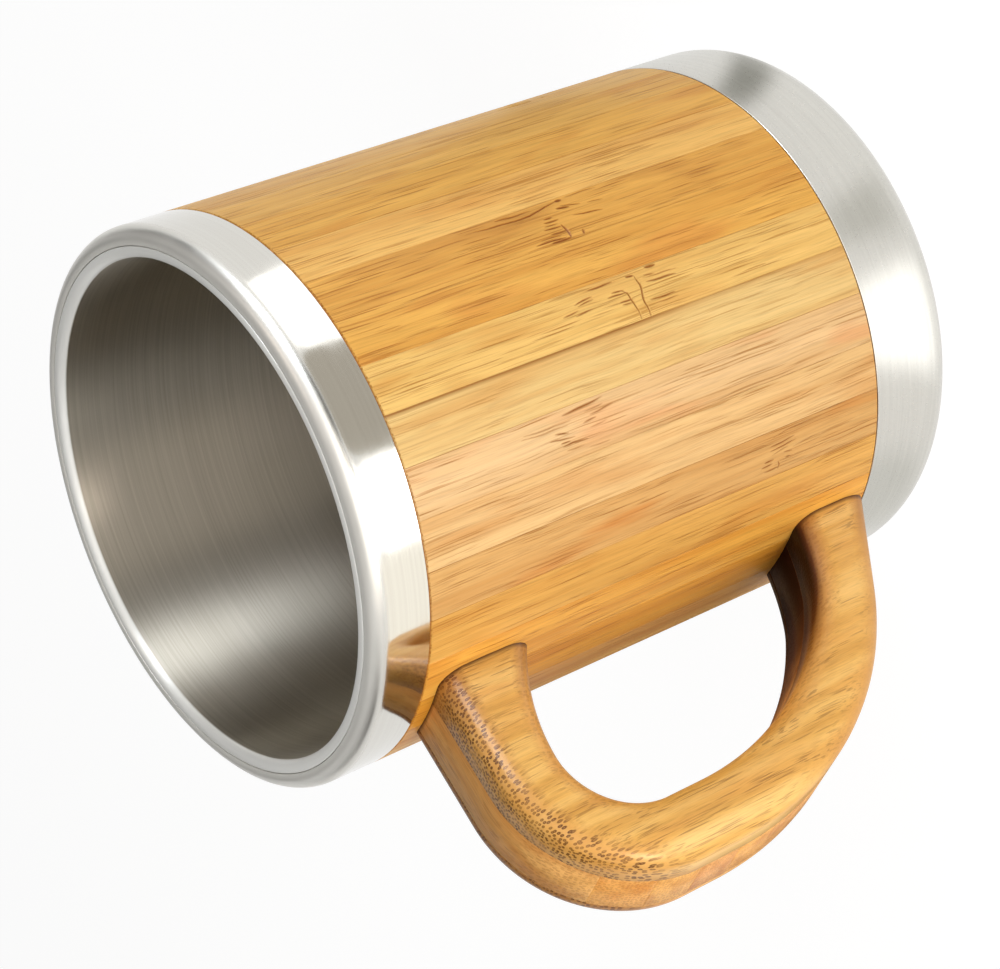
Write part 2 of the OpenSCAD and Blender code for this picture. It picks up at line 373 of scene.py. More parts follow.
# what bamboo shows: bundles are the dark fibre strands, softer tissue lies between them; (width, length) in mm,
# with dot the spacing of cut bundles and bundleSize a bundle's share of its width
bambooGrain = {
    "stave": {
        "dot": 0.45, "bundle": (0.42, 21), "bundleSize": 0.27, "hair": (0.2, 16), "band": (2.4, 90),
        "fine": (0.25, 9),
    },
    "ply": {
        "dot": 0.54, "bundle": (0.4, 9), "bundleSize": 0.27, "hair": (0.22, 6), "band": (3.2, 60),
        "fine": (0.2, 4),
    },
    "strip": {
        "dot": 0.5, "bundle": (0.5, 12), "bundleSize": 0.24, "hair": (0.25, 7), "band": (2.8, 50),
        "fine": (0.25, 6),
    },
}
# what a piece's own look may change
bambooShares = {
    "flushShare": 0.5,    # how strong the warm flushes are
    "few": 0.85,          # how many bundles stay pale where they stand thin, and where they crowd
    "many": 0.25,
    "strandShare": 0.75,  # how dark the bundles are, then the hairs between them
    "hairShare": 0.55,
    "endShare": 0.7,      # how much end grain takes its own tone, and how dark the dots in it are
    "endStrand": 0.8,
}
# mm: how far fibres wander and over what run, (width, length) of flushes and crowded patches, and the heights
# between which the bundles crowd
bambooFigure = {"drift": 0.6, "driftRun": 14, "blush": (4, 22), "crowd": (2.2, 14), "skinAt": (45, 75)}
# painted shade on the handle, in mm: darker beside the sleeve and in the corner where a foot meets it, and a painted
# shadow inside the lower bend
handleShade = {
    "cornerShadeStart": 0.1, "cornerShadeShare": 0.85, "sleeveShadeRun": 11, "sleeveShadeShare": 0.5, "soak": "#8a5420", "corner": "#3a1808",
    "bendShadeReach": (45, 70), "bendShadeHeight": (50, 42), "bendShadeFacing": (-0.45, -0.1, 0.88),
    "bendShadeShare": 0.95, "bendShadeBrown": "#4e1f02", "bendShadeBlack": "#180000",
}


# steamed bamboo, planed, sanded and lacquered satin: streaks along the fibres, dots where they end
def steamedBamboo(name, look, grain, fibre="z", seed=0, scar=False, joint=0, coat=0.12):
    material, add = startMaterial(name)
    look, chance = {**bambooShares, **look}, random.Random(seed)
    straight = add("TexCoord").outputs["Object"]
    along = "xyz".index(fibre)
    # fibres wander a little off straight
    drift = add("TexNoise", {"Scale": 1 / (bambooFigure["driftRun"] * mm), "Detail": 1}, {"Vector": straight})
    coords = add("VectorMath", {"operation": "MULTIPLY_ADD", 1: (bambooFigure["drift"] * mm,) * 3},
        {0: drift.outputs["Color"], 2: straight})

    def stretched(across, length):
        scale = [1 / (across * mm)] * 3
        scale[along] = 1 / (length * mm)
        shift = [chance.uniform(0, 40) for k in range(3)]
        return add("Mapping", {"Scale": scale, "Location": shift}, {"Vector": coords})

    band = add("TexNoise", {"Scale": 1, "Detail": 2, "Roughness": 0.5}, {"Vector": stretched(*grain["band"])})
    fine = add("TexNoise", {"Scale": 1, "Detail": 3, "Roughness": 0.6}, {"Vector": stretched(*grain["fine"])})
    strands = add("TexVoronoi", {"feature": "F1", "Scale": 1}, {"Vector": stretched(*grain["bundle"])})
    hairs = add("TexNoise", {"Scale": 1, "Detail": 1, "Roughness": 0.4}, {"Vector": stretched(*grain["hair"])})
    split = add("SeparateXYZ", links={0: coords})
    section = add("CombineXYZ", links=dict(enumerate(split.outputs[k] for k in range(3) if k != along)))
    dots = add("TexVoronoi", {
        "voronoi_dimensions": "2D", "feature": "F1", "Scale": 1 / (grain["dot"] * mm), "Randomness": 0.7,
    }, {"Vector": section})
    blush = add("TexNoise", {"Scale": 1, "Detail": 2}, {"Vector": stretched(*bambooFigure["blush"])})
    crowd = add("TexNoise", {"Scale": 1, "Detail": 1}, {"Vector": stretched(*bambooFigure["crowd"])})

    # the ground: wide soft bands, then a warm flush here and there, then fine streaks
    tones = [(0.34, look["dark"]), (0.5, look["base"]), (0.66, look["light"])]
    ground = add("ValToRGB", {"stops": tones}, {"Fac": band})
    flush = add("MapRange", span(0.54, 0.7, 0, look["flushShare"]), {0: blush})
    warmed = add("Mix", {**inColour, 7: look["flush"]}, {0: flush, 6: ground})
    streak = add("ValToRGB", {"stops": [(0.3, grey(0.84)), (0.5, grey(0.99)), (0.7, grey(1.05))]}, {"Fac": fine})
    streaked = add("Mix", {**inColour, "blend_type": "MULTIPLY", 0: 1}, {6: warmed.outputs[2], 7: streak})

    # end grain drinks more finish: stronger dots on a rosier ground where the face cuts the fibres across
    normal = add("NewGeometry").outputs["Normal"]
    facing = add("SeparateXYZ", links={0: normal}).outputs[along]
    across = add("Math", {"operation": "ABSOLUTE"}, {0: facing})
    ends = add("MapRange", span(0.1, 0.4), {0: across})
    rosy = add("Math", {**times, 1: look["endShare"]}, {0: ends})
    rosed = add("Mix", {**inColour, 7: look.get("end", look["base"])}, {0: rosy, 6: streaked.outputs[2]})

    size = grain["bundleSize"]
    body = add("MapRange", span(size * 0.55, size * 1.1, 1, 0), {0: strands.outputs["Distance"]})
    pick = add("SeparateColor", links={0: strands.outputs["Color"]})
    gate = add("MapRange", span(0.35, 0.62, look["few"], look["many"]), {0: crowd})
    passed = add("Math", {"operation": "SUBTRACT"}, {0: pick, 1: gate})
    chosen = add("MapRange", span(0, 0.25, 0, look["strandShare"]), {0: passed})
    dashes = add("Math", times, {0: body, 1: chosen})
    hair = add("MapRange", span(0.56, 0.64, 0, look["hairShare"]), {0: hairs})
    patch = add("MapRange", span(0.42, 0.58, 0.15), {0: crowd})
    hairy = add("Math", times, {0: hair, 1: patch})
    line = add("Math", {"operation": "MAXIMUM"}, {0: dashes, 1: hairy})
    ring = add("ValToRGB", {"stops": [
        (0, grey(0.6)), (0.1, grey(0.75)), (0.19, grey(1)), (0.28, grey(0.9)), (0.38, grey(0)),
    ]}, {"Fac": dots.outputs["Distance"]})
    thick = add("MapRange", span(0.35, 0.6, 0.45, look["endStrand"]), {0: crowd})
    # the bundles crowd towards the culm's skin, which is the top and outer side
    heightHere = add("SeparateXYZ", links={0: straight}).outputs[2]
    skin = add("MapRange", span(*metres(*bambooFigure["skinAt"]), 0.3), {0: heightHere})
    outer = add("MapRange", span(-0.15, 0.15, 0.3), {0: facing})
    outerSkin = add("Math", times, {0: outer, 1: skin})
    crowded = add("Math", times, {0: thick, 1: outerSkin})
    endDot = add("Math", times, {0: ring, 1: crowded})
    dash = add("Mix", {"data_type": "FLOAT"}, {0: ends, 2: line, 3: endDot})
    dashed = add("Mix", {**inColour, 7: look["strand"]}, {0: dash, 6: rosed.outputs[2]})
    colour = dashed.outputs[2]
    if scar:
        mark = add("Attribute", {"attribute_name": "scar"})
        scarred = add("Mix", {**inColour, 7: look["scar"]}, {0: mark.outputs["Fac"], 6: colour})
        colour = scarred.outputs[2]

    if joint:
        # painted shade where a foot meets the sleeve: darkest right in the corner, then fading over the end grain
        # beside it
        flat = add("VectorMath", {**times, 1: (1, 1, 0)}, {0: straight})
        reach = add("VectorMath", {"operation": "LENGTH"}, {0: flat}).outputs["Value"]
        shadeAt, sleeveAt = handleShade, cupSize["radius"]
        corner = add("MapRange", span(*metres(sleeveAt + shadeAt["cornerShadeStart"], sleeveAt + joint),
            shadeAt["cornerShadeShare"], 0), {0: reach})
        stain = add("MapRange", {**smooth,
            **span(*metres(sleeveAt, sleeveAt + shadeAt["sleeveShadeRun"]), shadeAt["sleeveShadeShare"], 0)}, {0: reach})
        soak = add("Math", times, {0: stain, 1: ends})
        # painted shadow on the inside of the lower bend, where it faces in, low and near the sleeve: brown, then near
        # black
        bendShadeNear = add("MapRange", {**smooth, **span(*metres(*shadeAt["bendShadeReach"]), 1, 0)}, {0: reach})
        turned = add("VectorMath", {"operation": "DOT_PRODUCT", 1: shadeAt["bendShadeFacing"]}, {0: normal})
        facesIn = add("MapRange", {**smooth, **span(0.2, 0.9)}, {0: turned.outputs["Value"]})
        low = add("MapRange", span(*metres(*shadeAt["bendShadeHeight"])), {0: heightHere})
        bendShadeIn = add("Math", times, {0: bendShadeNear, 1: facesIn})
        bendShadeMask = add("Math", times, {0: bendShadeIn, 1: low})
        bendShadeBrown = add("MapRange", span(0, 0.7, 0, shadeAt["bendShadeShare"]), {0: bendShadeMask})
        bendShadeBlack = add("MapRange", span(0.6, 1, 0, shadeAt["bendShadeShare"]), {0: bendShadeMask})
        # the painted shade and painted shadow laid over the bamboo's colour, one after the other
        for key, share in (("soak", soak), ("corner", corner), ("bendShadeBrown", bendShadeBrown), ("bendShadeBlack", bendShadeBlack)):
            layer = add("Mix", {**inColour, 7: shadeAt[key]}, {0: share, 6: colour})
            colour = layer.outputs[2]

    sunk = add("Math", {**times, 1: -1}, {0: dash})
    height = add("Math", {"operation": "MULTIPLY_ADD", 1: 0.25}, {0: fine, 2: sunk})
    bump = add("Bump", {"Strength": 0.7, "Distance": 0.1 * mm}, {"Height": height})
    gloss = add("MapRange", span(0.3, 0.7, 0.42, 0.56), {0: fine})
    shader = add("BsdfPrincipled", {
        "IOR": 1.5, "Specular IOR Level": 0.15, "Coat Weight": coat, "Coat Roughness": 0.24, "Coat IOR": 1.5,
    }, {"Base Color": colour, "Roughness": gloss, "Normal": bump})
    add("OutputMaterial", links={"Surface": shader})
    return material


# each piece of bamboo draws its own figure from its seed
seeds = {"nearPly": 71, "farPly": 72, "look": 100, "strip": 300, "stave": 500, "seam": 900}

# the sleeve: staves glued edge to edge round the cup
sleeve = {
    "count": 36,
    "inside": 36.9,
    "bevel": 0.25,           # mm, top and bottom edge
    "seamWidth": 0.07,       # mm, eased long edges, where the glue line shows
    "seamDepth": 0.06,
    "columns": 12,
    "rowRun": 5,             # mm between rows
    "scarRun": (0.1, 0.16),  # mm between rows and columns round a node scar, on the handle's side and elsewhere
    "scarReach": (9, 13),    # mm below and above the node
    "darkSeam": 8,           # the glue line between this stave and the one before it shows brown
    "darkSeamFoot": 38,      # mm above the ground, where that starts
    "darkSeamRun": 20,       # mm over which it fades in
    "darkSeamShare": (0.2, 0.75),   # how brown it is, least and most
    "seamShare": (0.1, 0.8),        # how dark the other glue lines are, least and most
    "grooveStain": (0.95, 1.5),     # how dark the deepest grooves are, and the power by which others follow
    "grooveFull": 0.11,      # mm, a groove this deep is stained fully
    "grooveShare": 0.72, "grooveDeep": 1.5,   # a groove's real width and depth against those in scarLines
    "grooveReach": 0.6,      # mm round a groove's line, beyond which it has no depth
    "grooveTip": 0.35,       # its width at the ends, as a share
    "wander": (0.05, 1.3, 0.08, 2.1),   # mm and radians per mm by which grooves wander round and along
}
# the tone of each strip that the handle side shows, and where a culm node crosses it, in mm above the sleeve's foot
staveLooks = {
    1: {"base": "#d49434"},
    2: {"base": "#d49840"},
    3: {"base": "#c89549", "many": 0.4},
    4: {"base": "#c49658", "flush": "#b97532", "flushShare": 0.8, "scarAt": 19.5, "scarKind": "tufts"},
    5: {"base": "#cca36a", "many": 0.3},
    6: {"base": "#cca571", "flush": "#d0905c", "many": 0.4, "scarAt": 52.6, "scarKind": "wavy"},
    7: {"base": "#cfac6d", "few": 0.9, "many": 0.6, "hairShare": 0.35},
    8: {"base": "#d2a85e", "few": 0.8, "scarAt": 35.8, "scarKind": "hook"},
    9: {"base": "#cf9a47", "flush": "#c07a32", "flushShare": 0.5},
    10: {"base": "#cd9745", "flush": "#a96d2a", "few": 0.7, "many": 0.05, "scarAt": 40.1, "scarKind": "cross"},
    11: {"base": "#ddad5f", "few": 0.7, "many": 0.1},
    12: {"base": "#d5a14e", "few": 0.7},
    13: {"base": "#d3a253"},
    14: {"base": "#d9ab5e"},
}
# a stave's other tones as shares of its own red, green and blue
staveShades = {
    "dark": (0.96, 0.92, 0.86), "light": (1.04, 1.05, 1.08), "flush": (0.93, 0.82, 0.68),
    "strand": (0.73, 0.59, 0.28), "scar": (0.64, 0.46, 0.12),
}
# a share of the staves behind has a node: its height above the sleeve's foot in mm, and how far it is stretched
spareScars = {"share": 0.35, "at": (14, 64), "length": (0.7, 1.15)}
spareTones = ["#d09a4e", "#c48c46", "#d6a659", "#cb9753", "#c7904a", "#d4a45a", "#be8a45"]
# grooves of a culm node, each a line of (round, along) points in mm from the node, its width and its depth
scarLines = {
    "hook": [
        ([(-3.5, -0.4), (-1.3, -0.36), (1.1, -0.85), (2.6, -0.75)], 0.2, 0.11),
        ([(2.6, -0.7), (2.85, 0.7)], 0.2, 0.1), ([(2.75, 2.9), (2.85, 7.3)], 0.19, 0.1),
        ([(-3.4, 1.2), (-0.84, 1.3), (0.7, 1.7), (1.25, 2.4)], 0.18, 0.1),
        ([(-1.3, -1.4), (-1.35, -5.8)], 0.19, 0.1), ([(-1.9, -2), (-1.95, -6)], 0.13, 0.07),
        ([(1.24, -2), (0.95, -7.1)], 0.19, 0.1), ([(1.9, -1.9), (1.6, -8)], 0.13, 0.07),
        ([(3.2, -2.8), (3.1, -4.7)], 0.28, 0.11), ([(1.56, 10.2), (1.89, 7)], 0.18, 0.09),
        ([(1.2, 9.9), (1.5, 7)], 0.16, 0.08), ([(0.43, 12.8), (0.74, 10)], 0.16, 0.08),
        ([(0.1, 10.8), (0.2, 8)], 0.17, 0.08), ([(0.9, 5), (0.8, 1.9)], 0.17, 0.09),
        ([(1.3, 4), (1.25, 2)], 0.16, 0.09), ([(-0.28, 3.4), (-0.27, 1.1)], 0.18, 0.1),
        ([(-0.7, 3.1), (-0.7, 1.4)], 0.14, 0.08), ([(2.2, -2.2), (2, -4)], 0.15, 0.07),
    ],
    "cross": [
        ([(2.4, 12.9), (2.1, 8.1), (2, 3.7), (2.7, 0.7), (2.95, -1.6)], 0.19, 0.1),
        ([(2.95, -1.2), (2.95, -2.3)], 0.28, 0.12), ([(1.7, -0.6), (1.5, -2.6)], 0.25, 0.12),
        ([(2.05, -1.5), (1.4, -4.5)], 0.16, 0.08), ([(0, -2.1), (-0.7, -7)], 0.17, 0.09),
        ([(-0.8, 0.4), (-3.2, 0.35)], 0.24, 0.12), ([(-3.15, 0.3), (-3.25, 3.7)], 0.24, 0.12),
        ([(-2.6, -1.9), (-3.4, -1.8)], 0.22, 0.1), ([(0.7, 2.5), (0.75, 1)], 0.17, 0.09),
        ([(0.1, 2.8), (0.1, 0.3)], 0.18, 0.1), ([(-0.45, 3), (-0.45, 0.7)], 0.14, 0.08),
        ([(-1, 3.4), (-1, 0.5)], 0.18, 0.1), ([(-1.9, 3), (-1.9, 0.5)], 0.18, 0.1),
        ([(-2.75, 6.1), (-2.9, 1)], 0.2, 0.11), ([(-2.3, 5), (-2.4, 1.6)], 0.13, 0.07),
        ([(2.9, 9), (2.8, 3)], 0.15, 0.08), ([(3.2, -3), (3.2, -8.5)], 0.14, 0.07),
        ([(1.1, -5.5), (1, -8)], 0.13, 0.06),
    ],
    "wavy": [
        ([(2.6, 1.8), (2.7, -1.6), (3.1, -5)], 0.26, 0.09), ([(1.7, 0.6), (1.6, 4.4), (1.8, 8.5)], 0.15, 0.06),
        ([(1.2, 1.4), (1.2, 5), (1.4, 9)], 0.14, 0.06), ([(1.4, -2.4), (1.7, -6.5)], 0.18, 0.07),
        ([(0.6, -1), (0.9, -3.2)], 0.16, 0.07), ([(0.2, 1.6), (0.5, 3.8)], 0.17, 0.08),
        ([(-0.5, 0.6), (-0.4, 3), (-0.1, 4.8)], 0.15, 0.07), ([(-0.9, 1.5), (-0.9, 3)], 0.14, 0.07),
        ([(-1.5, -1.2), (-1.2, 1.2), (-1.4, 3)], 0.17, 0.08), ([(-2.1, -0.6), (-2, 2.6)], 0.14, 0.06),
        ([(-0.2, -2), (0, -5)], 0.13, 0.05), ([(-2.7, -1), (-2.7, -4.6)], 0.13, 0.05),
        ([(2, -1.8), (2.2, -5)], 0.14, 0.05),
    ],
    "tufts": [
        ([(2.4, 1), (2.9, -3), (2.8, -7)], 0.13, 0.06), ([(1.3, 1.3), (1.2, -0.8), (1.6, -3.2)], 0.18, 0.08),
        ([(0.6, 1.4), (0.6, -1), (1, -3.4)], 0.18, 0.08), ([(-0.1, 1), (0.3, -2)], 0.14, 0.06),
        ([(-0.9, 2.4), (-0.8, 0.6)], 0.17, 0.09), ([(-1.6, 3), (-1.4, 0.9)], 0.17, 0.09),
        ([(-2.3, 2.6), (-2.3, -0.4)], 0.16, 0.07), ([(-1.3, -0.1), (-1.9, -0.3), (-2.6, 0)], 0.2, 0.07),
        ([(-0.4, -1.2), (-0.5, -2.8)], 0.14, 0.07), ([(-1.2, -1.4), (-1.4, -3)], 0.14, 0.06),
        ([(0, -3), (0.3, -8)], 0.13, 0.05), ([(1.9, 2), (2, 5)], 0.12, 0.05),
    ],
}


def shade(code, factor):
    parts = [round(int(code[i:i + 2], 16) * f) for i, f in zip((1, 3, 5), factor)]
    return "#" + "".join("%02x" % max(0, min(255, part)) for part in parts)


def shades(tone, factors):
    return {"base": tone, **{key: shade(tone, factor) for key, factor in factors.items()}}


def staveLook(i):
    chance = random.Random(seeds["look"] + i)
    look = dict(staveLooks.get(i) or {"base": chance.choice(spareTones)})
    if i not in staveLooks and chance.random() < spareScars["share"]:
        look["scarAt"] = chance.uniform(*spareScars["at"])
        look["scarKind"] = chance.choice(sorted(scarLines))
        look["scarTurn"] = (chance.choice((-1, 1)), chance.uniform(*spareScars["length"]))   # mirrored or not
    return {**shades(look["base"], staveShades), **look}


# depth in mm of a node's grooves, u round the sleeve and w along it from the node
def scarDepth(lines, u, w):
    roundBy, roundTurn, alongBy, alongTurn = sleeve["wander"]
    u, w = u + roundBy * math.sin(roundTurn * w), w + alongBy * math.sin(alongTurn * u)
    depth, reach, tip = 0, sleeve["grooveReach"], sleeve["grooveTip"]
    for points, width, deep in lines:
        count = len(points) - 1
        for n, ((u0, w0), (u1, w1)) in enumerate(zip(points, points[1:])):
            if min(u0, u1) - reach < u < max(u0, u1) + reach and min(w0, w1) - reach < w < max(w0, w1) + reach:
                du, dw = u1 - u0, w1 - w0
                t = max(0, min(1, ((u - u0) * du + (w - w0) * dw) / (du * du + dw * dw)))
                gap = math.hypot(u - u0 - t * du, w - w0 - t * dw)
                taper = tip + (1 - tip) * math.sin(math.pi * (n + t) / count) ** 0.5 if 0 < n + t < count else tip
                shape = math.exp(-(gap / (sleeve["grooveShare"] * width * taper)) ** 2)
                depth = max(depth, sleeve["grooveDeep"] * deep * taper * shape)
    return depth


def spread(low, high, run):
    return evenly(low, high, max(1, math.ceil((high - low) / run)))


def makeStave(i):
    look = staveLook(i)
    r, foot, top = cupSize["radius"], cupSize["baseTop"], cupSize["sleeveTop"]
    bevel = sleeve["bevel"]
    half = math.pi / sleeve["count"] * r                   # half the strip's width round the sleeve, mm
    centre = 2 * math.pi * (i - 1) / sleeve["count"]
    seam = sleeve["seamWidth"]
    beside = [(i + side) % sleeve["count"] for side in (0, 1)]   # the glue lines on its two sides
    seamTone = [random.Random(seeds["seam"] + k).uniform(*sleeve["seamShare"]) for k in beside]
    dark = [k == sleeve["darkSeam"] for k in beside]
    (palest, darkest), (stain, power) = sleeve["darkSeamShare"], sleeve["grooveStain"]
    scarZ = foot + look["scarAt"] if "scarAt" in look else None
    fineRun = sleeve["scarRun"][i not in staveLooks]
    columns = spread(-half + seam, half - seam, fineRun if scarZ else 2 * half / sleeve["columns"])
    rows = spread(foot + bevel, top - bevel, sleeve["rowRun"])
    if scarZ:
        low, high = scarZ - sleeve["scarReach"][0], scarZ + sleeve["scarReach"][1]
        lines = scarLines[look["scarKind"]]
        rows = sorted([z for z in rows if z < low or z > high] + spread(low, high, fineRun))
    columns = [-half] + columns + [half]
    outline = [(sleeve["inside"], foot), (r - bevel, foot)] + [(r, z) for z in rows]
    outline += [(r - bevel, top), (sleeve["inside"], top)]
    vertices, marks, faces = [], [], []
    for u in columns:
        angle = centre + u / r
        for radius, z in outline:
            drop = 0
            if radius > r - bevel - 0.01:
                if abs(u) > half - seam / 2:
                    drop = sleeve["seamDepth"]
                elif scarZ and radius == r and low <= z <= high:
                    mirror, stretch = look.get("scarTurn", (1, 1))
                    drop = scarDepth(lines, u * mirror, (z - scarZ) / stretch)
            if dark[u > 0] and abs(u) > half - 1.5 * seam:
                marks.append(min(darkest, max(palest, (z - sleeve["darkSeamFoot"]) / sleeve["darkSeamRun"])))
            elif abs(u) > half - seam / 2:
                # a glue line darkens and pales along its run
                marks.append(seamTone[u > 0] * (0.6 + 0.4 * math.sin(z / 9 + 7 * seamTone[u > 0])))
            elif radius < r - 0.01 and radius > r - bevel - 0.01:
                marks.append(1)
            else:
                marks.append(stain * min(1, drop / sleeve["grooveFull"]) ** power)
            vertices.append(((radius - drop) * math.cos(angle) * mm, (radius - drop) * math.sin(angle) * mm, z * mm))
    n = len(outline)
    for c in range(len(columns) - 1):
        for k in range(n):
            a, b = c * n + k, c * n + (k + 1) % n
            faces.append((a, a + n, b + n, b))
    for c, turn in ((0, 1), (len(columns) - 1, -1)):
        ring = [c * n + k for k in range(n)]
        faces.append(ring[::turn])
    bamboo = steamedBamboo("steamedBambooStave.%02d" % i, look, bambooGrain["stave"], "z", seeds["stave"] + i, True)
    piece = makeObject("bambooStave.%02d" % i, vertices, faces, bamboo)
    attribute = piece.data.attributes.new("scar", "FLOAT", "POINT")
    attribute.data.foreach_set("value", marks)
    place(piece, "stave_bamboo", "stave_%02d" % i)


for index in range(1, sleeve["count"] + 1):
    makeStave(index)
print("sleeve of", sleeve["count"], "staves")

# the handle: two face plies and a middle one of crosswise strips, all swept along one line
handle = {
    "width": 9.6, "nearRound": (4.2, 2.6), "farRound": (2.5, 2.5),       # mm, as all that aren't degrees or counts
    "armHeight": 87.9, "footHeight": 21.6, "tilt": 5.1, "reach": 15.5,   # tilt in degrees
    "cornerRadius": 15, "gripRun": 5.9, "bowTurn": 56.4,                 # bowTurn in degrees
    "flareRun": 16, "upperFlare": 4.6, "lowerFlare": 3,                  # how the arms widen to the sleeve
    "nearGlue": 1.9, "farGlue": -4.7, "half": 7.5,                       # the plies' faces, across the grip
    "firstGlue": 87.6, "stripHeight": 6.7, "strips": 12,
    "seamEase": 0.05,        # mm, eased glue line edges
    "eased": 40.2,           # mm from the cup's axis, where the easing of those across starts
    "jointShade": 0.7,       # mm beside the sleeve that shade darkens
    "sharp": 50,             # degrees, edges sharper than this stay sharp
    "seek": (9, 14),         # mm past the ends and back from the lower one, where lines along it meet the sleeve
    "halvings": 40,          # of the search for that place
    "cutMerge": 1e-8, "stripMerge": 1e-7,   # m, corners this close to a cut stay whole
    "stations": 170, "roundSteps": 10,
}
handleLooks = {
    "near": {
        "base": "#d3a04f", "dark": "#c28d3e", "light": "#deb165", "flush": "#cf9346", "strand": "#5a3000",
        "end": "#c58c44", "strandShare": 0.4, "hairShare": 0.45, "endStrand": 1,
    },
    "far": {
        "base": "#cc9850", "dark": "#b9823e", "light": "#dba963", "flush": "#b8793a", "strand": "#4a2408",
        "end": "#7f5028", "strandShare": 0.5, "endStrand": 0.95,
    },
}
stripShades = {
    "dark": (0.92, 0.86, 0.78), "light": (1.06, 1.07, 1.1), "flush": (0.93, 0.82, 0.68), "strand": (0.72, 0.6, 0.42),
}
stripTones = [   # from the top down
    "#d19b57", "#d3984f", "#d19a53", "#ce9456", "#d2974f", "#ca904d",
    "#d09854", "#c9914e", "#cd9450", "#c68c49", "#cc9452", "#c58c4b",
]


def handlePath(s):
    h = handle
    tilt, bow = math.radians(h["tilt"]), math.radians(h["bowTurn"])
    corner, r = tilt + math.pi / 2, h["cornerRadius"]
    cornerX = h["reach"] * math.cos(tilt) + r * (1 + math.sin(tilt))
    cornerFall = r * math.cos(tilt) - h["reach"] * math.sin(tilt)
    height = h["armHeight"] - h["footHeight"] - cornerFall - h["gripRun"] - cornerX / math.tan(bow)
    bowRadius = height / math.tan(bow / 2)
    footRun = (cornerX - bowRadius * (1 - math.cos(bow))) / math.sin(bow)
    legs = [(h["reach"], 0), (r * corner, r), (h["gripRun"], 0), (bowRadius * bow, bowRadius), (footRun, 0)]
    total = sum(leg[0] for leg in legs)
    if s is None:
        return total
    x, z, heading = cupSize["radius"], h["armHeight"], tilt
    for n, (length, radius) in enumerate(legs):
        step = s if s < length or n == len(legs) - 1 else length
        if radius:
            turned = heading - step / radius
            x += radius * (math.sin(heading) - math.sin(turned))
            z -= radius * (math.cos(heading) - math.cos(turned))
            heading = turned
        else:
            x += step * math.cos(heading)
            z += step * math.sin(heading)
        s -= step
        if step < length:
            break
    return x, z, heading


handleRun = handlePath(None)


def flare(s):
    near, run = s < handleRun / 2, handle["flareRun"]
    gap = s if near else handleRun - s
    return (handle["upperFlare"] if near else handle["lowerFlare"]) * max(0, 1 - gap / run) ** 2


# a point of the handle: s along it, y across the grip, depth in from its outer or inner edge
def handlePoint(s, y, inset, outer):
    x, z, heading = handlePath(s)
    offset = handle["width"] / 2 - inset if outer else inset - handle["width"] / 2 - flare(s)
    return x - offset * math.sin(heading), y, z + offset * math.cos(heading)


# where that line along the handle meets the round of the sleeve
def meetSleeve(y, inset, outer, low, high):
    limit = math.sqrt(cupSize["radius"] ** 2 - y * y)
    side = handlePoint(low, y, inset, outer)[0] > limit
    for k in range(handle["halvings"]):
        middle = (low + high) / 2
        if (handlePoint(middle, y, inset, outer)[0] > limit) == side:
            low = middle
        else:
            high = middle
    return (low + high) / 2


# (y, inset) round an edge that reaches wide over the flat side and deep into the thickness
def roundedEdge(wide, deep):
    turns = evenly(0, math.pi / 2, handle["roundSteps"])
    return [(handle["half"] - deep + deep * math.sin(turn), wide - wide * math.cos(turn)) for turn in turns]


# columns of a ply between two depths: (y, inset) from one side to the other
def plyColumns(low, high):
    ease, half = handle["seamEase"], handle["half"]
    far = [(-y, inset) for y, inset in roundedEdge(*handle["farRound"])[::-1]]
    columns = far if low <= -half else [(low, ease), (low + ease, 0)]
    return columns + (roundedEdge(*handle["nearRound"]) if high >= half else [(high - ease, 0), (high, ease)])


def sweptPly(low, high):
    columns, stations = plyColumns(low, high), handle["stations"]
    over, back = handle["seek"]
    vertices, faces = [], []
    for outer in (True, False):
        for y, inset in columns if outer else columns[::-1]:
            first = meetSleeve(y, inset, outer, -over, over)
            last = meetSleeve(y, inset, outer, handleRun - back, handleRun + over)
            for s in evenly(first, last, stations):
                vertices.append(metres(*handlePoint(s, y, inset, outer)))
    n, sides = stations + 1, 2 * len(columns)
    for c in range(sides):
        for k in range(stations):
            a, b = c * n + k, (c + 1) % sides * n + k
            faces.append((a, b, b + 1, a + 1))
    for c in range(len(columns) - 1):
        opposite = sides - 1 - c
        for k, turn in ((0, 1), (stations, -1)):
            faces.append([c * n + k, opposite * n + k, (opposite - 1) * n + k, (c + 1) * n + k][::turn])
    return vertices, faces


def makePly(name, node, low, high, look, seed):
    vertices, faces = sweptPly(low, high)
    title = "steamedBamboo" + name[0].upper() + name[1:]
    bamboo = steamedBamboo(title, look, bambooGrain["ply"], "z", seed, joint=handle["jointShade"], coat=0.35)
    piece = makeObject(name, vertices, faces, bamboo, handle["sharp"])
    place(piece, "handle_face_bamboo", node)


makePly("handleNearPly", "handle_near_ply", handle["nearGlue"], handle["half"], handleLooks["near"], seeds["nearPly"])
makePly("handleFarPly", "handle_far_ply", -handle["half"], handle["farGlue"], handleLooks["far"], seeds["farPly"])


def cutLevel(shape, height, tolerance, **sides):
    everything = shape.verts[:] + shape.edges[:] + shape.faces[:]
    plane = {"plane_co": (0, 0, height * mm), "plane_no": (0, 0, 1)}
    bmesh.ops.bisect_plane(shape, geom=everything, dist=tolerance, **plane, **sides)


